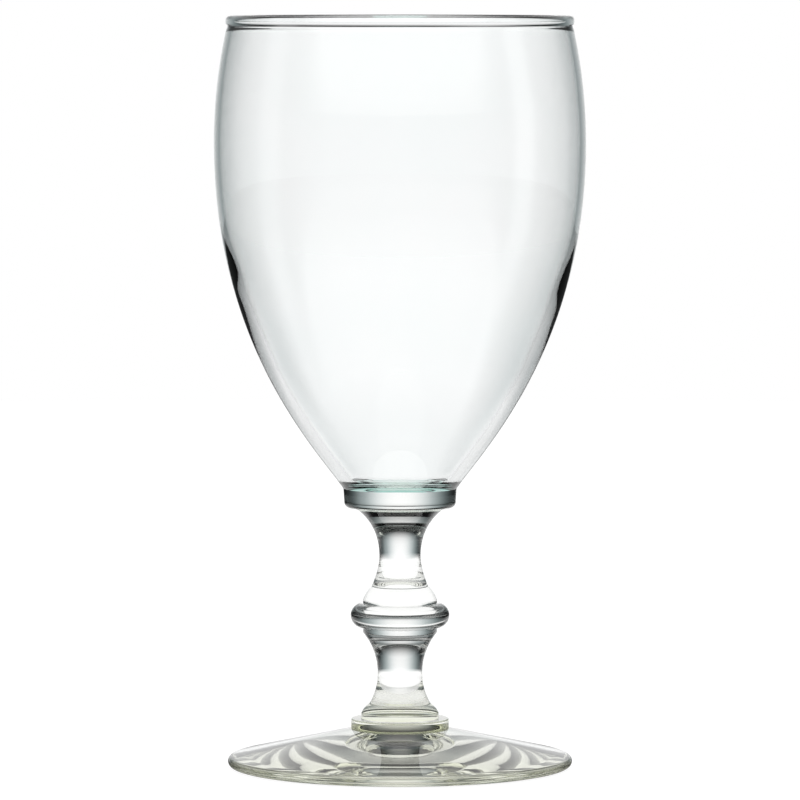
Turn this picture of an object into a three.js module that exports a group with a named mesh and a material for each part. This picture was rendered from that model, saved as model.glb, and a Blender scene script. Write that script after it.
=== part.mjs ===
import * as THREE from "three";

// A red wine glass: a blown bowl on a pressed stem and a pressed foot. The three were joined hot,
// with a collar of glass between each two of them.
// Millimetres, +Z up. The origin is the middle of the ring that the foot stands on.

// Foot
const footDiameter = 76.2;
const footEdge = 2.2; // thickness of the rounded edge
const footRise = 8.2; // from the table to the seat of the collar
const footHollow = 1.4; // how far the underside is domed up, on the axis
const bearingWidth = 3; // of the flat ring that the foot stands on

// Collar between the foot and the stem
const footCollarDiameter = 21.6;
const footCollarHeight = 2.4;
const footCollarRound = 0.4; // radius of its upper edge

// Stem: heights are above its lower face
const stemLength = 46.8;
const stemBaseDiameter = 17.2;
const stemBaseEdge = 1.1; // upright edge of the ring at the bottom
const stemBaseCrown = 2.1; // height of the rounded top of that ring
const stemBaseCrease = 13.6; // diameter where that ring meets the lower shaft
const lowerWaistDiameter = 9.9;
const lowerWaistHeight = 10;
const knopHeight = 22.85; // middle of the knop
const knopRound = 2.7; // radius of the knop's half-round edge
const knopSeatDiameter = 16.4; // of the steps above and below the knop
const lowerStepEdge = 1.05;
const upperStepEdge = 0.75;
const upperStepCrown = 2.9; // height of the rounded top of the upper step
const upperStepCrease = 12.6; // diameter where it meets the upper shaft
const upperWaistDiameter = 9.1;
const upperWaistHeight = 36;
const stemTopDiameter = 20;

// How the shafts sweep out of their waists: the share of each sweep that stays close to upright
const sweepBelowLowerWaist = 0.54;
const sweepAboveLowerWaist = 0.55;
const sweepBelowUpperWaist = 0.42;
const sweepAboveUpperWaist = 0.64;
const crownFullness = 0.3; // 0 makes the ring tops straight bevels, 1 makes them square

// Collar between the stem and the bowl
const bowlCollarDiameter = 25;
const bowlCollarHeight = 4.2;
const bowlCollarTaper = 0.2; // how much smaller the radius is at the lower edge
const bowlCollarRound = 1.2; // radius of that edge

// Bowl: heights are above its lower face
const bowlHeight = 104.3;
const bellyDiameter = 82;
const bellyHeight = 76;
const rimDiameter = 76.8; // over the fire-polished bead
const flareAngle = THREE.MathUtils.degToRad(34.2); // off upright, where the wall leaves the collar
const flarePull = 9.6; // how far the wall keeps that direction
const bellyPull = 44.6; // how far below the belly the wall stays close to upright
const rimWall = 1.25;
const rimBeadProud = 0.3; // how far the bead stands out from each face of the wall
const rimBeadHeight = 2.6;
const lowWall = 2.6; // where the hot wall settled, up to the height where it starts to thin
const thinFrom = 27;
const thinTo = 57; // from here up the wall is as thin as at the rim
const floorThickness = 2.2; // under the drink
const floorStart = 0.08; // share of the way up to the belly where the wall starts to round into the floor
const floorRound = 0.6; // how far that round reaches in over the flat floor

// Fineness of the surfaces
const segmentsAround = 48;
const stepsPerSweep = 5;
const stepsPerRound = 4;
const stepsPerKnop = 10;
const stepsToBelly = 14;
const stepsToRim = 6;

// The pieces stand on each other, face to face.
const footCollarZ = footRise;
const stemZ = footCollarZ + footCollarHeight;
const bowlCollarZ = stemZ + stemLength;
const bowlZ = bowlCollarZ + bowlCollarHeight;

const point = (radius, z) => new THREE.Vector2(radius, z);

function glass(color, roughness) {
  return new THREE.MeshStandardMaterial({
    color,
    roughness,
    metalness: 0,
    transparent: true,
    opacity: 0.35,
  });
}

const blownGlass = glass(0xe9f1f0, 0.02);
const pressedGlass = glass(0xe6e8dc, 0.05);

// Turns a profile about the Z axis. It runs from the axis along the lower face, up the outside and
// back to the axis, so that the faces point out.
function turned(name, profile, material) {
  const geometry = new THREE.LatheGeometry(profile, segmentsAround);
  geometry.rotateX(Math.PI / 2);
  const mesh = new THREE.Mesh(geometry, material);
  mesh.name = name;
  return mesh;
}

// A quarter round from one point to another. fromAngle and toAngle are counted from the outward radius.
function round(middleRadius, middleZ, radius, fromAngle, toAngle, steps) {
  const arc = new THREE.EllipseCurve(middleRadius, middleZ, radius, radius, fromAngle, toAngle);
  return arc.getPoints(steps);
}

function foot() {
  const edge = footEdge / 2;
  const edgeRadius = footDiameter / 2 - edge;
  const seatRadius = footCollarDiameter / 2;
  const bearingRadius = edgeRadius - bearingWidth;
  const topSlope = Math.atan2(footRise - footEdge, edgeRadius - seatRadius);
  const underside = new THREE.QuadraticBezierCurve(
    point(0, footHollow),
    point(bearingRadius / 2, footHollow),
    point(bearingRadius, 0),
  );
  return turned(
    "foot",
    [
      ...underside.getPoints(stepsPerSweep),
      ...round(edgeRadius, edge, edge, -Math.PI / 2, Math.PI / 2 - topSlope, 2 * stepsPerRound),
      point(seatRadius, footRise),
      point(0, footRise),
    ],
    pressedGlass,
  );
}

function footCollar() {
  const radius = footCollarDiameter / 2;
  const roundZ = stemZ - footCollarRound;
  return turned(
    "foot_collar",
    [
      point(0, footCollarZ),
      point(radius, footCollarZ),
      ...round(radius - footCollarRound, roundZ, footCollarRound, 0, Math.PI / 2, stepsPerRound),
      point(0, stemZ),
    ],
    pressedGlass,
  );
}

// The shaft's sweep between a waist and a wider place. bend is the share of its height, from the
// waist, in which it stays close to upright.
function sweep(waist, wide, bend) {
  const turn = point(waist.x, waist.y + (wide.y - waist.y) * bend);
  return new THREE.QuadraticBezierCurve(waist, turn, wide).getPoints(stepsPerSweep);
}

// The rounded top of a ring, from its upright edge in to the crease at the shaft.
function crown(edge, crease) {
  const bevel = point((edge.x + crease.x) / 2, (edge.y + crease.y) / 2);
  const fullest = bevel.lerp(point(edge.x, crease.y), crownFullness);
  return new THREE.QuadraticBezierCurve(edge, fullest, crease).getPoints(stepsPerRound);
}

function stem() {
  const baseRadius = stemBaseDiameter / 2;
  const baseEdgeZ = stemZ + stemBaseEdge;
  const baseCrease = point(stemBaseCrease / 2, baseEdgeZ + stemBaseCrown);
  const lowerWaist = point(lowerWaistDiameter / 2, stemZ + lowerWaistHeight);
  const seatRadius = knopSeatDiameter / 2;
  const knopZ = stemZ + knopHeight;
  const lowerStep = point(seatRadius, knopZ - knopRound - lowerStepEdge);
  const upperStep = point(seatRadius, knopZ + knopRound + upperStepEdge);
  const upperCrease = point(upperStepCrease / 2, upperStep.y + upperStepCrown);
  const upperWaist = point(upperWaistDiameter / 2, stemZ + upperWaistHeight);
  const top = point(stemTopDiameter / 2, bowlCollarZ);
  return turned(
    "stem",
    [
      point(0, stemZ),
      point(baseRadius, stemZ),
      ...crown(point(baseRadius, baseEdgeZ), baseCrease),
      ...sweep(lowerWaist, baseCrease, sweepBelowLowerWaist).reverse().slice(1),
      ...sweep(lowerWaist, lowerStep, sweepAboveLowerWaist).slice(1),
      ...round(seatRadius, knopZ, knopRound, -Math.PI / 2, Math.PI / 2, stepsPerKnop),
      ...crown(upperStep, upperCrease),
      ...sweep(upperWaist, upperCrease, sweepBelowUpperWaist).reverse().slice(1),
      ...sweep(upperWaist, top, sweepAboveUpperWaist).slice(1),
      point(0, bowlCollarZ),
    ],
    pressedGlass,
  );
}

function bowlCollar() {
  const topRadius = bowlCollarDiameter / 2;
  const roundRadius = topRadius - bowlCollarTaper - bowlCollarRound;
  const roundZ = bowlCollarZ + bowlCollarRound;
  return turned(
    "bowl_collar",
    [
      point(0, bowlCollarZ),
      ...round(roundRadius, roundZ, bowlCollarRound, -Math.PI / 2, 0, stepsPerRound),
      point(topRadius, bowlZ),
      point(0, bowlZ),
    ],
    pressedGlass,
  );
}

// Thickness of the bowl's wall at a height: even below and above, with a soft taper between.
function wallAt(z) {
  const thinned = THREE.MathUtils.smoothstep(z - bowlZ, thinFrom, thinTo);
  return THREE.MathUtils.lerp(lowWall, rimWall, thinned);
}

// The point on the inside of the wall that faces the share t of an outside curve.
function insideOf(curve, t) {
  const outside = curve.getPoint(t);
  const along = curve.getTangent(t);
  return point(-along.y, along.x).multiplyScalar(wallAt(outside.y)).add(outside);
}

function bowl() {
  const collarRadius = bowlCollarDiameter / 2;
  const belly = point(bellyDiameter / 2, bowlZ + bellyHeight);
  const beadWidth = rimWall / 2 + rimBeadProud;
  const beadRise = rimBeadHeight / 2;
  const beadMiddle = point(rimDiameter / 2 - beadWidth, bowlZ + bowlHeight - beadRise);
  const beadStart = Math.acos(rimWall / 2 / beadWidth);
  const beadEnd = Math.PI + beadStart;
  const bead = new THREE.EllipseCurve(beadMiddle.x, beadMiddle.y, beadWidth, beadRise, -beadStart, beadEnd);
  const underBead = bead.getPoint(0);

  const lowerSide = new THREE.CubicBezierCurve(
    point(collarRadius, bowlZ),
    point(collarRadius + flarePull * Math.sin(flareAngle), bowlZ + flarePull * Math.cos(flareAngle)),
    point(belly.x, belly.y - bellyPull),
    belly,
  );
  const upperSide = new THREE.QuadraticBezierCurve(
    belly,
    point(belly.x, (belly.y + underBead.y) / 2),
    underBead,
  );

  const inside = [];
  for (let i = stepsToRim - 1; i >= 0; i--) inside.push(insideOf(upperSide, i / stepsToRim));
  const stepsOfFloor = Math.round(floorStart * stepsToBelly);
  for (let i = stepsToBelly - 1; i > stepsOfFloor; i--) inside.push(insideOf(lowerSide, i / stepsToBelly));

  // The floor leaves the wall along the wall's own direction and rounds into a flat disc.
  const wallEnd = insideOf(lowerSide, floorStart);
  const wallWay = lowerSide.getTangent(floorStart);
  const floorZ = bowlZ + floorThickness;
  const floorEdge = wallEnd.x - ((wallEnd.y - floorZ) * wallWay.x) / wallWay.y;
  const floor = new THREE.QuadraticBezierCurve(
    wallEnd,
    point(floorEdge, floorZ),
    point(floorEdge - floorRound, floorZ),
  );

  return turned(
    "bowl",
    [
      point(0, bowlZ),
      ...lowerSide.getPoints(stepsToBelly),
      ...upperSide.getPoints(stepsToRim).slice(1),
      ...bead.getPoints(2 * stepsPerRound).slice(1),
      ...inside,
      ...floor.getPoints(stepsPerSweep),
      point(0, floorZ),
    ],
    blownGlass,
  );
}

const wineGlass = new THREE.Group();
wineGlass.name = "red_wine_glass";
wineGlass.add(foot(), footCollar(), stem(), bowlCollar(), bowl());

export default wineGlass;
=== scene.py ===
import math

import bmesh
import bpy
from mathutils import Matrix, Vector


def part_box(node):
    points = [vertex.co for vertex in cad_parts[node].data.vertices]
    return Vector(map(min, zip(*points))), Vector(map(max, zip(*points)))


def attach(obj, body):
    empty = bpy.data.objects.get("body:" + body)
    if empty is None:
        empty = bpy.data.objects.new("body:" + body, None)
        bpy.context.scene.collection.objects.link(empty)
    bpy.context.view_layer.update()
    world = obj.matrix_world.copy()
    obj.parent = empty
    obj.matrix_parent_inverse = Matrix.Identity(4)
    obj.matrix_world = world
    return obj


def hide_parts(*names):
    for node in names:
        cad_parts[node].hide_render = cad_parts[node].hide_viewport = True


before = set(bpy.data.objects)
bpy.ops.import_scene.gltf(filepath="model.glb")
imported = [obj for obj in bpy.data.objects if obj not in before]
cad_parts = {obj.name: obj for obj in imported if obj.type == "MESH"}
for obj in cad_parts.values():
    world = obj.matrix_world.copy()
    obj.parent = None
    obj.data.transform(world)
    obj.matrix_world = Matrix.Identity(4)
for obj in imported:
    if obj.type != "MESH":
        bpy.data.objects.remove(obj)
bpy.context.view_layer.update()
scene = bpy.context.scene
scene.view_settings.view_transform = "Standard"
scene.cycles.max_bounces = 40
scene.cycles.transmission_bounces = 32
scene.cycles.glossy_bounces = 24
scene.cycles.transparent_max_bounces = 32
print("frame loaded:", ", ".join(sorted(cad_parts)))

mm = 0.001
near = 1e-3  # points closer than this, in mm, count as the same
mesher = {
    "around": 256,  # steps round the axis, the same on all pieces so that fused faces share their edges
    "flat": 6, "crown": 14, "sweep": 28, "knop": 48, "bead": 48, "long": 60,  # steps along an outline
    "sharp": 38,  # degrees from which an edge stays sharp
}


def levels(node):
    # bottom, top and largest radius of a CAD node, in mm
    low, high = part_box(node)
    return low.z / mm, high.z / mm, high.x / mm


# camera: a long lens a little above the rim, as in the photograph
shot = {
    "away": 1.36, "height": 0.1733, "aimHeight": 0.08115,  # metres
    "lens": 277.8, "sensor": 36,  # mm
    "clip": (0.05, 60),
}


def makeCamera():
    data = bpy.data.cameras.new("camera")
    data.sensor_width = shot["sensor"]
    data.lens = shot["lens"]
    data.clip_start, data.clip_end = shot["clip"]
    camera = bpy.data.objects.new("camera", data)
    scene.collection.objects.link(camera)
    camera.location = (0, -shot["away"], shot["height"])
    look = Vector((0, 0, shot["aimHeight"])) - camera.location
    camera.rotation_mode = "QUATERNION"
    camera.rotation_quaternion = look.to_track_quat("-Z", "Y")
    scene.camera = camera


makeCamera()
print("camera set")


# outlines are lists of (radius, height) in mm
def quadCurve(a, b, c, steps, crowd=1):
    # with crowd over 1 the points crowd towards the end
    out = []
    for i in range(steps + 1):
        t = 1 - (1 - i / steps) ** crowd
        out.append(tuple((1 - t) ** 2 * a[k] + 2 * t * (1 - t) * b[k] + t * t * c[k] for k in (0, 1)))
    return out


def cubicCurve(a, b, c, d, steps):
    out = []
    for i in range(steps + 1):
        t = i / steps
        u = 1 - t
        shares = (u**3, 3 * u * u * t, 3 * u * t * t, t**3)
        out.append(tuple(sum(w * p[k] for w, p in zip(shares, (a, b, c, d))) for k in (0, 1)))
    return out


def arc(middle, radius, start, end, steps):
    out = []
    for i in range(steps + 1):
        a = math.radians(start + (end - start) * i / steps)
        out.append((middle[0] + radius * math.cos(a), middle[1] + radius * math.sin(a)))
    return out


def straight(a, b, steps):
    return [tuple(a[k] + (b[k] - a[k]) * i / steps for k in (0, 1)) for i in range(steps + 1)]


def flatFace(fromRadius, toRadius, height, steps=mesher["flat"]):
    return straight((fromRadius, height), (toRadius, height), steps)


def tidyOutline(points):
    out = [points[0]]
    for p in points[1:]:
        if math.dist(p, out[-1]) > near / 10:
            out.append(p)
    return out


welds = {}  # height in mm to the radius of the fused face there


def isWeld(a, b):
    for height, radius in welds.items():
        if abs(a[1] - height) < near and abs(b[1] - height) < near:
            return max(a[0], b[0]) < radius + near
    return False


def spin(name, outline, materials, shift=None):
    # turns an outline about Z; it starts and ends on the axis. shift gives a point's own move by angle
    outline = tidyOutline(outline)
    around = mesher["around"]
    bm = bmesh.new()
    rings = []
    for k, (radius, height) in enumerate(outline):
        if radius < near / 10:
            rings.append([bm.verts.new((0, 0, height * mm))])
            continue
        ring = []
        for i in range(around):
            a = 2 * math.pi * i / around
            dr, dz = shift(k, a) if shift else (0, 0)
            r = radius + dr
            ring.append(bm.verts.new((r * math.cos(a) * mm, r * math.sin(a) * mm, (height + dz) * mm)))
        rings.append(ring)
    for k in range(len(rings) - 1):
        lower, upper = rings[k], rings[k + 1]
        fused = isWeld(outline[k], outline[k + 1])
        for i in range(around):
            j = (i + 1) % around
            if len(lower) == 1:
                face = bm.faces.new((lower[0], upper[j], upper[i]))
            elif len(upper) == 1:
                face = bm.faces.new((lower[i], lower[j], upper[0]))
            else:
                face = bm.faces.new((lower[i], lower[j], upper[j], upper[i]))
            face.smooth = True
            face.material_index = 1 if fused else 0
    mesh = bpy.data.meshes.new(name)
    bm.to_mesh(mesh)
    bm.free()
    for material in materials:
        mesh.materials.append(material)
    mesh.set_sharp_from_angle(angle=math.radians(mesher["sharp"]))
    piece = bpy.data.objects.new(name, mesh)
    scene.collection.objects.link(piece)
    return piece


# helpers for the node trees of materials and light
def mathNode(tree, operation, a, b=None):
    node = tree.nodes.new("ShaderNodeMath")
    node.operation = operation
    for k, value in enumerate((a, b)):
        if isinstance(value, (int, float)):
            node.inputs[k].default_value = value
        elif value is not None:
            tree.links.new(value, node.inputs[k])
    return node.outputs[0]


def mixNode(tree, blend, factor, a, b):
    node = tree.nodes.new("ShaderNodeMix")
    node.data_type = "RGBA"
    node.blend_type = blend
    sockets = {"Factor": factor, "A": a, "B": b}
    for name, value in sockets.items():
        if isinstance(value, (int, float, tuple)):
            node.inputs[name].default_value = value
        else:
            tree.links.new(value, node.inputs[name])
    return node.outputs["Result"]


def fadeNode(tree, value, start, end, low=0, high=1):
    # goes from low to high while the value goes from start to end
    fade = tree.nodes.new("ShaderNodeMapRange")
    sockets = {"From Min": start, "From Max": end, "To Min": low, "To Max": high}
    for name, number in sockets.items():
        fade.inputs[name].default_value = number
    tree.links.new(value, fade.inputs["Value"])
    return fade.outputs["Result"]


def angleRamp(tree, angle, stops, limit, tint=(1, 1, 1)):
    # brightness by angle; stops run from -limit to limit degrees, and the darker ones are tinted more
    ramp = tree.nodes.new("ShaderNodeValToRGB")
    ramp.color_ramp.interpolation = "B_SPLINE"
    ends = ramp.color_ramp.elements
    for k, (place, value) in enumerate(stops):
        spot = place / (2 * limit) + 0.5
        stop = ends[k] if k < 2 else ends.new(spot)
        stop.position = spot
        stop.color = (*(value * (1 + (c - 1) * (1 - value)) for c in tint), 1)
    share = mathNode(tree, "DIVIDE", angle, 2 * math.radians(limit))
    tree.links.new(mathNode(tree, "ADD", share, 0.5), ramp.inputs["Fac"])
    return ramp.outputs["Color"]


def grey(value):
    return (value, value, value, 1.0)


# glass: clear, with a faint tint by depth and the soft unevenness of hand-finished ware
# the spans are the noise levels between which the tint and the roughness change
patterns = {"cloudDetail": 3, "rippleDetail": 1, "tintSpan": (0.3, 0.7), "wipeSpan": (0.35, 0.75)}


def tintByDepth(nodes, links, look):
    depth = nodes.new("ShaderNodeVolumeAbsorption")
    depth.inputs["Color"].default_value = (*look["depthColor"], 1)
    depth.inputs["Density"].default_value = look["depthDensity"]
    links.new(depth.outputs["Volume"], nodes["Material Output"].inputs["Volume"])


def glassMaterial(name, look):
    material = bpy.data.materials.new(name)
    material.use_nodes = True
    nodes, links = material.node_tree.nodes, material.node_tree.links
    glass = nodes["Principled BSDF"]
    glass.inputs["Transmission Weight"].default_value = 1
    glass.inputs["IOR"].default_value = look["ior"]
    spot = nodes.new("ShaderNodeTexCoord").outputs["Object"]
    cloud = nodes.new("ShaderNodeTexNoise")
    cloud.inputs["Scale"].default_value = look["cloudScale"]
    cloud.inputs["Detail"].default_value = patterns["cloudDetail"]
    links.new(spot, cloud.inputs["Vector"])
    tint = nodes.new("ShaderNodeValToRGB")
    for stop, place, color in zip(tint.color_ramp.elements, patterns["tintSpan"], look["tints"]):
        stop.position = place
        stop.color = (*color, 1)
    links.new(cloud.outputs["Fac"], tint.inputs["Fac"])
    links.new(tint.outputs["Color"], glass.inputs["Base Color"])
    wipe = fadeNode(material.node_tree, cloud.outputs["Fac"], *patterns["wipeSpan"], *look["rough"])
    links.new(wipe, glass.inputs["Roughness"])
    ripple = nodes.new("ShaderNodeTexNoise")
    ripple.inputs["Scale"].default_value = look["rippleScale"]
    ripple.inputs["Detail"].default_value = patterns["rippleDetail"]
    stretch = nodes.new("ShaderNodeMapping")
    stretch.inputs["Scale"].default_value = look["rippleStretch"]
    links.new(spot, stretch.inputs["Vector"])
    links.new(stretch.outputs["Vector"], ripple.inputs["Vector"])
    bump = nodes.new("ShaderNodeBump")
    bump.inputs["Strength"].default_value = look["rippleStrength"]
    bump.inputs["Distance"].default_value = look["rippleDepth"]
    links.new(ripple.outputs["Fac"], bump.inputs["Height"])
    links.new(bump.outputs["Normal"], glass.inputs["Normal"])
    tintByDepth(nodes, links, look)
    return material


def fusedMaterial(name, look):
    # inside a fused joint there is no surface: light goes straight on
    material = bpy.data.materials.new(name)
    material.use_nodes = True
    nodes, links = material.node_tree.nodes, material.node_tree.links
    nodes.remove(nodes["Principled BSDF"])
    through = nodes.new("ShaderNodeBsdfTransparent")
    through.inputs["Color"].default_value = (1, 1, 1, 1)
    links.new(through.outputs["BSDF"], nodes["Material Output"].inputs["Surface"])
    tintByDepth(nodes, links, look)
    return material


blownLook = {
    "ior": 1.51, "tints": ((0.985, 0.995, 0.993), (1.0, 1.0, 1.0)), "cloudScale": 40,
    "rough": (0.0, 0.01), "rippleScale": 45, "rippleStretch": (1, 1, 0.6),
    "rippleStrength": 0.1, "rippleDepth": 0.0002,
    "depthColor": (0.5, 0.85, 0.87), "depthDensity": 5,
}
stemLook = {
    "ior": 1.51, "tints": ((0.99, 0.995, 0.99), (1.0, 1.0, 1.0)), "cloudScale": 60,
    "rough": (0.0, 0.01), "rippleScale": 110, "rippleStretch": (1, 1, 1),
    "rippleStrength": 0.1, "rippleDepth": 0.0001,
    "depthColor": (0.8, 0.85, 0.6), "depthDensity": 2,
}
footLook = dict(
    stemLook, tints=((0.995, 0.995, 0.975), (1.0, 1.0, 1.0)), depthColor=(0.7, 0.76, 0.2), depthDensity=3,
)
blownGlass = glassMaterial("blownGlass", blownLook)
blownFuse = fusedMaterial("blownFuse", blownLook)
stemGlass = glassMaterial("stemGlass", stemLook)
stemFuse = fusedMaterial("stemFuse", stemLook)
footGlass = glassMaterial("footGlass", footLook)
footFuse = fusedMaterial("footFuse", footLook)
print("glass mixed")


# stem sizes in mm, heights above its lower face
stemSizes = {
    "baseRadius": 8.6, "baseEdge": 1.1, "baseCrown": 2.1, "baseCrease": 6.8,
    "lowerWaist": (4.95, 10.0), "knopMiddle": 22.85, "knopRound": 2.7, "seatRadius": 8.2,
    "lowerStep": 1.05, "upperStep": 0.75, "upperCrown": 2.9, "upperCrease": 6.3,
    "upperWaist": (4.55, 36.0), "topRadius": 10.0,
    "bends": (0.54, 0.55, 0.42, 0.64), "fullness": 0.3,
}

footTop, footRadius = levels("foot")[1:]
footCollarLow, footCollarTop, footCollarRadius = levels("foot_collar")
stemLow, stemTop = levels("stem")[:2]
bowlCollarLow, bowlCollarTop, bowlCollarRadius = levels("bowl_collar")
bowlLow, bowlTop, bellyRadius = levels("bowl")

welds[footTop] = footCollarRadius
welds[stemLow] = stemSizes["baseRadius"]
welds[stemTop] = stemSizes["topRadius"]
welds[bowlLow] = bowlCollarRadius


def makeStem():
    s = stemSizes
    baseEdge = (s["baseRadius"], stemLow + s["baseEdge"])
    baseCrease = (s["baseCrease"], baseEdge[1] + s["baseCrown"])
    lowerWaist = (s["lowerWaist"][0], stemLow + s["lowerWaist"][1])
    knop = (s["seatRadius"], stemLow + s["knopMiddle"])
    lowerStep = (knop[0], knop[1] - s["knopRound"] - s["lowerStep"])
    upperStep = (knop[0], knop[1] + s["knopRound"] + s["upperStep"])
    upperCrease = (s["upperCrease"], upperStep[1] + s["upperCrown"])
    upperWaist = (s["upperWaist"][0], stemLow + s["upperWaist"][1])
    top = (s["topRadius"], stemTop)

    def sweep(waist, wide, bend):
        turn = (waist[0], waist[1] + (wide[1] - waist[1]) * bend)
        return quadCurve(waist, turn, wide, mesher["sweep"])

    def crown(edge, crease):
        f = s["fullness"]
        bevel = ((edge[0] + crease[0]) / 2, (edge[1] + crease[1]) / 2)
        full = (bevel[0] + (edge[0] - bevel[0]) * f, bevel[1] + (crease[1] - bevel[1]) * f)
        return quadCurve(edge, full, crease, mesher["crown"])

    low = sweep(lowerWaist, baseCrease, s["bends"][0])[::-1]
    midLow = sweep(lowerWaist, lowerStep, s["bends"][1])
    midHigh = sweep(upperWaist, upperCrease, s["bends"][2])[::-1]
    high = sweep(upperWaist, top, s["bends"][3])
    outline = flatFace(0, s["baseRadius"], stemLow)
    outline += crown(baseEdge, baseCrease) + low[1:] + midLow[1:]
    outline += arc(knop, s["knopRound"], -90, 90, mesher["knop"])
    outline += crown(upperStep, upperCrease) + midHigh[1:] + high[1:]
    outline += flatFace(s["topRadius"], 0, stemTop)[1:]
    return spin("stem", outline, (stemGlass, stemFuse))


footCollarSizes = {"round": 0.4, "roundSteps": 10, "ledgeSteps": 3}


def makeFootCollar():
    s = footCollarSizes
    r, soft = footCollarRadius, s["round"]
    outline = flatFace(0, r, footCollarLow)
    outline += arc((r - soft, footCollarTop - soft), soft, 0, 90, s["roundSteps"])
    outline += flatFace(r - soft, stemSizes["baseRadius"], footCollarTop, s["ledgeSteps"])[1:]
    outline += flatFace(stemSizes["baseRadius"], 0, footCollarTop)[1:]
    return spin("foot_collar", outline, (footGlass, footFuse))


bowlCollarSizes = {"taper": 0.2, "round": 1.2, "roundSteps": 14}


def makeBowlCollar():
    s = bowlCollarSizes
    r, taper, soft = bowlCollarRadius, s["taper"], s["round"]
    outline = flatFace(0, stemSizes["topRadius"], bowlCollarLow)
    outline += arc((r - taper - soft, bowlCollarLow + soft), soft, -90, 0, s["roundSteps"])
    outline += flatFace(r, 0, bowlCollarTop)
    return spin("bowl_collar", outline, (stemGlass, stemFuse))


# foot sizes in mm: thickness of the edge, height of the hollow under it, width of the ring it stands on
footSizes = {"edge": 2.2, "hollow": 1.4, "bearing": 3.0, "edgeSteps": 36}


def makeFoot():
    half, hollow = footSizes["edge"] / 2, footSizes["hollow"]
    edgeRadius = footRadius - half
    bearing = edgeRadius - footSizes["bearing"]
    slope = math.degrees(math.atan2(footTop - footSizes["edge"], edgeRadius - footCollarRadius))
    outline = quadCurve((0, hollow), (bearing / 2, hollow), (bearing, 0), mesher["long"])
    outline += arc((edgeRadius, half), half, -90, 90 - slope, footSizes["edgeSteps"])
    outline += straight(outline[-1], (footCollarRadius, footTop), mesher["long"])[1:]
    outline += flatFace(footCollarRadius, 0, footTop)[1:]
    return spin("foot", outline, (footGlass, footFuse))


bowlSizes = {
    "bellyHeight": 76.0, "rimRadius": 38.4, "flare": 34.2, "flarePull": 9.6, "bellyPull": 44.6,
    "rimWall": 1.25, "beadProud": 0.3, "beadHeight": 2.6,
    "wall": ((0, 2.6), (27, 2.6), (57, 1.25), (103.4, 1.25)),  # height and thickness
    "floorHeight": 2.2, "floorRadius": 10.3, "floorRound": 1.4,
    "floorRings": ((5.5, 0.8, 0.25), (9.2, 0.9, 0.4)),  # radius, width and depth of rings in the floor
    "lowerSteps": 220, "upperSteps": 80, "upperCrowd": 2, "roundSteps": 24, "floorSteps": 80,
}
bowlNeck = {  # the groove under the bead, mostly on the inside
    "below": 0.25, "width": 0.55, "depth": 0.26, "outside": 0.3, "reach": 4,
    "uneven": ((180, 60, 0.2), (0, 30, 0.1), (-58, 16, -0.24)),  # angle, spread in degrees, extra depth
}
# where the hot wall settled: angle, spread in degrees, height, thickness, how far it tapers up and down
bowlSags = ((0, 22, 44.5, 0.15, 7, 4), (180, 22, 48.5, 0.2, 6, 4))


def byHeight(stops, height):
    for (h0, v0), (h1, v1) in zip(stops, stops[1:]):
        if height <= h1:
            t = max(0, (height - h0) / (h1 - h0))
            return v0 + (v1 - v0) * t * t * (3 - 2 * t)
    return stops[-1][1]


def aside(angle, where):
    # degrees from a place on the rim, the short way round
    return (math.degrees(angle) - where + 180) % 360 - 180


def insideWall(outside, lowest):
    # follows the outside along its normals from the rim down to the lowest height, and keeps the normals
    inside, inward = [], []
    for k in range(len(outside) - 2, 0, -1):
        (r0, z0), (r1, z1) = outside[k - 1], outside[k + 1]
        length = math.hypot(r1 - r0, z1 - z0)
        way = (-(z1 - z0) / length, (r1 - r0) / length)
        wall = byHeight(bowlSizes["wall"], outside[k][1] - bowlLow)
        inside.append((outside[k][0] + way[0] * wall, outside[k][1] + way[1] * wall))
        inward.append(way)
        if inside[-1][1] < lowest:
            break
    return inside, inward


def floorDip(radius):
    rings = bowlSizes["floorRings"]
    return sum(depth * math.exp(-(((radius - at) / width) ** 2)) for at, width, depth in rings)


def neckDepth(above, angle):
    # depth of the groove at a height above the lower edge of the bead
    away = (above + bowlNeck["below"]) / bowlNeck["width"]
    if abs(away) > bowlNeck["reach"]:
        return 0
    depth = bowlNeck["depth"]
    for where, spread, extra in bowlNeck["uneven"]:
        depth += extra * math.exp(-((aside(angle, where) / spread) ** 2))
    return depth * math.exp(-away * away)


def sagDepth(height, angle):
    thick = 0
    for where, spread, middle, extra, up, down in bowlSags:
        rise = (height - middle) / (up if height > middle else down)
        thick += extra * math.exp(-((aside(angle, where) / spread) ** 2) - rise * rise)
    return thick


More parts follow.
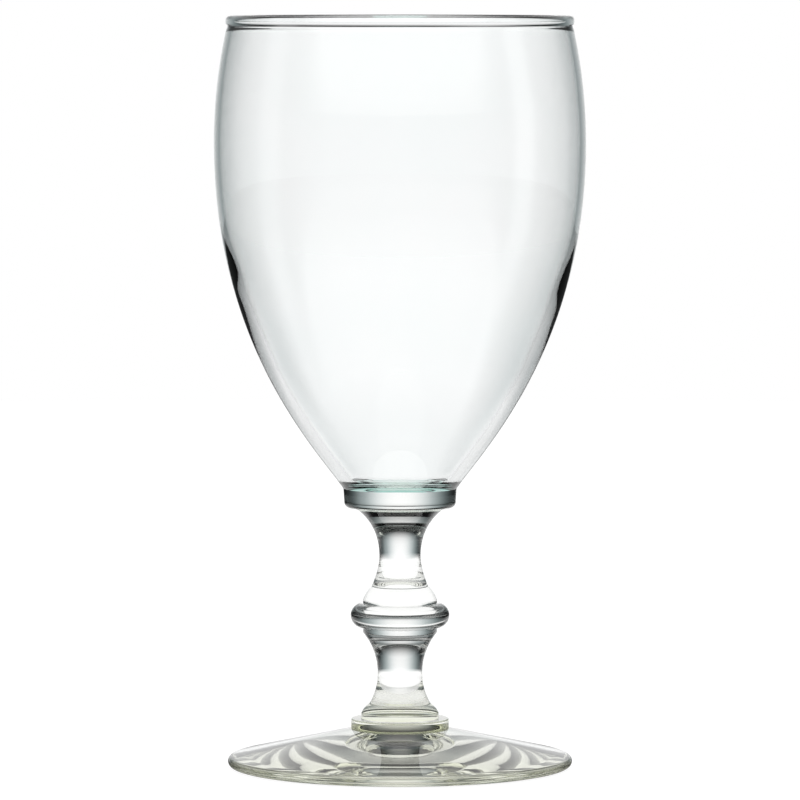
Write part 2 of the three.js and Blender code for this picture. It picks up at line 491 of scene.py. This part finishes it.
def makeBowl():
    s = bowlSizes
    belly = (bellyRadius, bowlLow + s["bellyHeight"])
    beadWidth, beadRise = s["rimWall"] / 2 + s["beadProud"], s["beadHeight"] / 2
    beadMiddle = (s["rimRadius"] - beadWidth, bowlTop - beadRise)
    wrap = math.degrees(math.acos(s["rimWall"] / 2 / beadWidth))
    bead = [(beadMiddle[0] + beadWidth * r, beadMiddle[1] + beadRise * z)
            for r, z in arc((0, 0), 1, -wrap, 180 + wrap, mesher["bead"])]
    under = bead[0]
    flare = math.radians(s["flare"])
    start = (bowlCollarRadius, bowlLow)
    pull = (start[0] + s["flarePull"] * math.sin(flare), start[1] + s["flarePull"] * math.cos(flare))
    lower = cubicCurve(start, pull, (belly[0], belly[1] - s["bellyPull"]), belly, s["lowerSteps"])
    shoulder = (belly[0], (belly[1] + under[1]) / 2)
    upper = quadCurve(belly, shoulder, under, s["upperSteps"], s["upperCrowd"])
    outside = lower + upper[1:]
    floorHeight = bowlLow + s["floorHeight"]
    inside, inward = insideWall(outside, floorHeight + s["floorRound"])
    end, before = inside[-1], inside[-2]
    corner = end[0] - (end[1] - floorHeight) * (before[0] - end[0]) / (before[1] - end[1])
    outline = flatFace(0, start[0], bowlLow) + outside[1:] + bead[1:]
    insideStart = len(outline)
    floorEdge = (s["floorRadius"], floorHeight)
    outline += inside + quadCurve(end, (corner, floorHeight), floorEdge, s["roundSteps"])[1:]
    for k in range(1, s["floorSteps"] + 1):
        r = s["floorRadius"] * (1 - k / s["floorSteps"])
        outline.append((r, floorHeight - floorDip(r)))

    def handWork(k, angle):
        radius, height = outline[k]
        groove = neckDepth(height - under[1], angle)
        if groove:
            return (groove if radius < beadMiddle[0] else -groove * bowlNeck["outside"]), 0
        spot = k - insideStart
        if not 0 <= spot < len(inward):
            return 0, 0
        thick = sagDepth(height - bowlLow, angle)
        return inward[spot][0] * thick, inward[spot][1] * thick

    return spin("bowl", outline, (blownGlass, blownFuse), handWork)


pieces = {
    "foot": (makeFoot, "pressed_glass"),
    "foot_collar": (makeFootCollar, "pressed_glass"),
    "stem": (makeStem, "pressed_glass"),
    "bowl_collar": (makeBowlCollar, "pressed_glass"),
    "bowl": (makeBowl, "blown_glass"),
}
for node, (make, slotName) in pieces.items():
    piece = make()
    piece.name = node + "Glass"
    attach(piece, "root")
    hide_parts(node)
    print("made", piece.name, len(piece.data.polygons), "faces")


# studio: a wide lit wall behind the glass, a small one on the left, some light in front, dark elsewhere
# stops are degrees and brightness, aside and mirrored by direction to the right of straight behind,
# above and ceiling by height
studio = {
    "aside": (
        (-180, 0.35), (-140, 0.3), (-120, 0.12), (-108, 0.02), (-101, 0.06), (-96, 0.97), (-84, 0.97),
        (-78, 0.04), (-66, 0.01), (-56, 0.02), (-46, 0.08), (-37, 0.2), (-29, 0.37), (-22, 0.55),
        (-15, 0.8), (-8, 0.96), (0, 1.0), (8, 0.96), (15, 0.8), (22, 0.55), (29, 0.37), (37, 0.2),
        (46, 0.08), (56, 0.02), (66, 0.01), (105, 0.01), (120, 0.12), (140, 0.3), (180, 0.35),
    ),
    "above": (
        (-90, 1.0), (-6, 1.0), (-3, 0.99), (0, 0.98), (8, 0.94), (14, 0.84), (18, 0.7), (22, 0.55),
        (27, 0.38), (33, 0.2), (42, 0.06), (55, 0.015), (90, 0.01),
    ),
    "mirrored": (  # takes the place of aside in faces that mirror the room
        (-180, 0.4), (-140, 0.5), (-66, 0.5), (-52, 0.15), (-40, 0.02), (-24, 0.03), (-14, 0.5),
        (-7, 1.0), (7, 1.0), (14, 0.5), (24, 0.03), (40, 0.02), (52, 0.15), (66, 0.5), (140, 0.5),
        (180, 0.4),
    ),
    "ceiling": (  # more light for faces that look up and mirror it
        (-90, 0.0), (9, 0.0), (15, 0.4), (22, 0.6), (36, 0.5), (70, 0.4), (90, 0.3),
    ),
    "tint": (0.78, 0.98, 1.0),  # of the dark stops
    "gain": 1.1,  # makes up for what the light loses at the faces of the glass
    "inner": (0.8, 7.0),  # bounces in the glass over which the light fades
}


def asideLight(tree, x, y, kind="aside"):
    # light of the surroundings by level direction
    return angleRamp(tree, mathNode(tree, "ARCTAN2", x, y), studio[kind], 180, studio["tint"])


def rayKinds(tree):
    # the light path, the rays that come by way of the glass, and those that a face of it mirrors
    path = tree.nodes.new("ShaderNodeLightPath")
    glossy, through = path.outputs["Is Glossy Ray"], path.outputs["Is Transmission Ray"]
    return path, mathNode(tree, "MAXIMUM", glossy, through), mathNode(tree, "SUBTRACT", glossy, through)


def innerDim(tree, path, span):
    # light that was thrown about inside the glass comes from the dark of the room
    return fadeNode(tree, path.outputs["Glossy Depth"], *span, 1, 0)


def makeStudio():
    world = bpy.data.worlds.new("studio")
    scene.world = world
    world.use_nodes = True
    tree = world.node_tree
    nodes, links = tree.nodes, tree.links
    way = nodes.new("ShaderNodeTexCoord")
    parts = nodes.new("ShaderNodeSeparateXYZ")
    links.new(way.outputs["Generated"], parts.inputs[0])
    x, y, z = parts.outputs
    rise = mathNode(tree, "ARCSINE", z)
    above = angleRamp(tree, rise, studio["above"], 90)
    ceiling = angleRamp(tree, rise, studio["ceiling"], 90)
    path, inGlass, mirrored = rayKinds(tree)
    through = mixNode(tree, "MULTIPLY", 1.0, asideLight(tree, x, y), above)
    inFaces = mixNode(tree, "MULTIPLY", 1.0, asideLight(tree, x, y, "mirrored"), above)
    light = mixNode(tree, "MIX", mirrored, through, inFaces)
    light = mixNode(tree, "ADD", mirrored, light, ceiling)
    links.new(mixNode(tree, "MIX", inGlass, grey(1.0), light), nodes["Background"].inputs["Color"])
    gain = mathNode(tree, "ADD", mathNode(tree, "MULTIPLY", inGlass, studio["gain"] - 1), 1)
    level = mathNode(tree, "MULTIPLY", innerDim(tree, path, studio["inner"]), gain)
    links.new(level, nodes["Background"].inputs["Strength"])


makeStudio()
print("studio lit")


# floor: a pale table, white to the camera, with the soft shadow kept
# seen in the glass it is white near by and takes the studio's light far off
table = {
    "radius": 1.2, "segments": 128, "below": 0.0002,  # just under the foot
    "glow": 0.9, "pale": 0.2,
    "white": (  # direction, and how far out the table is white before it turns into the studio's light
        (-180, 0.8), (-130, 0.8), (-112, 0.05), (-80, 0.045), (-62, 0.12), (-45, 0.26), (-30, 0.24),
        (0, 0.2), (30, 0.22), (45, 0.2), (62, 0.1), (80, 0.045), (112, 0.045), (130, 0.8), (180, 0.8),
    ),
    "fall": 1.3, "dark": 0.05,  # how fast it turns, and the whiteness at which it has turned
    "mirrored": 0.06, "mirroredRing": 0.9,  # brightness in faces that mirror the table
    "ring": (0.06, 0.1, 0.22, 0.52),  # radii between which they show it brighter
    "under": (0.045, 0.07),  # inside this the table is bright however the light got there
    "inner": (0.8, 2.8),  # bounces in the glass over which its light fades elsewhere
}


def makeFloor():
    bm = bmesh.new()
    bmesh.ops.create_circle(bm, cap_ends=True, segments=table["segments"], radius=table["radius"])
    mesh = bpy.data.meshes.new("floor")
    bm.to_mesh(mesh)
    bm.free()
    floor = bpy.data.objects.new("floor", mesh)
    floor.location.z = -table["below"]
    scene.collection.objects.link(floor)
    material = bpy.data.materials.new("paleTable")
    material.use_nodes = True
    tree = material.node_tree
    nodes, links = tree.nodes, tree.links
    nodes.remove(nodes["Principled BSDF"])
    where = nodes.new("ShaderNodeNewGeometry")
    parts = nodes.new("ShaderNodeSeparateXYZ")
    links.new(where.outputs["Position"], parts.inputs[0])
    x, y = parts.outputs["X"], parts.outputs["Y"]
    square = mathNode(tree, "ADD", mathNode(tree, "MULTIPLY", x, x), mathNode(tree, "MULTIPLY", y, y))
    radius = mathNode(tree, "SQRT", square)
    path, inGlass, mirrored = rayKinds(tree)

    white = angleRamp(tree, mathNode(tree, "ARCTAN2", x, y), table["white"], 180)
    whiteness = mathNode(tree, "POWER", mathNode(tree, "DIVIDE", white, radius), table["fall"])
    far = mathNode(tree, "MULTIPLY", inGlass, fadeNode(tree, whiteness, 1, table["dark"]))
    color = mixNode(tree, "MIX", far, grey(1.0), asideLight(tree, x, y))

    ringStart, ringFull, ringFade, ringEnd = table["ring"]
    outward = fadeNode(tree, radius, ringStart, ringFull)
    ring = mathNode(tree, "MULTIPLY", outward, fadeNode(tree, radius, ringEnd, ringFade))
    dim = mixNode(tree, "MIX", ring, grey(table["mirrored"]), grey(table["mirroredRing"]))
    color = mixNode(tree, "MULTIPLY", mirrored, color, dim)

    beneath = fadeNode(tree, radius, *table["under"], 1, 0)
    kept = mathNode(tree, "MAXIMUM", beneath, innerDim(tree, path, table["inner"]))
    matt = nodes.new("ShaderNodeBsdfDiffuse")
    shown = mixNode(tree, "MULTIPLY", 1.0, color, grey(table["pale"]))
    links.new(mixNode(tree, "MIX", kept, grey(0.0), shown), matt.inputs["Color"])
    glow = nodes.new("ShaderNodeEmission")
    links.new(color, glow.inputs["Color"])
    lit = mathNode(tree, "MULTIPLY", inGlass, kept)
    seen = mathNode(tree, "MAXIMUM", path.outputs["Is Camera Ray"], lit)
    links.new(mathNode(tree, "MULTIPLY", seen, table["glow"]), glow.inputs["Strength"])
    both = nodes.new("ShaderNodeAddShader")
    links.new(matt.outputs["BSDF"], both.inputs[0])
    links.new(glow.outputs["Emission"], both.inputs[1])
    links.new(both.outputs["Shader"], nodes["Material Output"].inputs["Surface"])
    mesh.materials.append(material)


makeFloor()
print("floor laid")
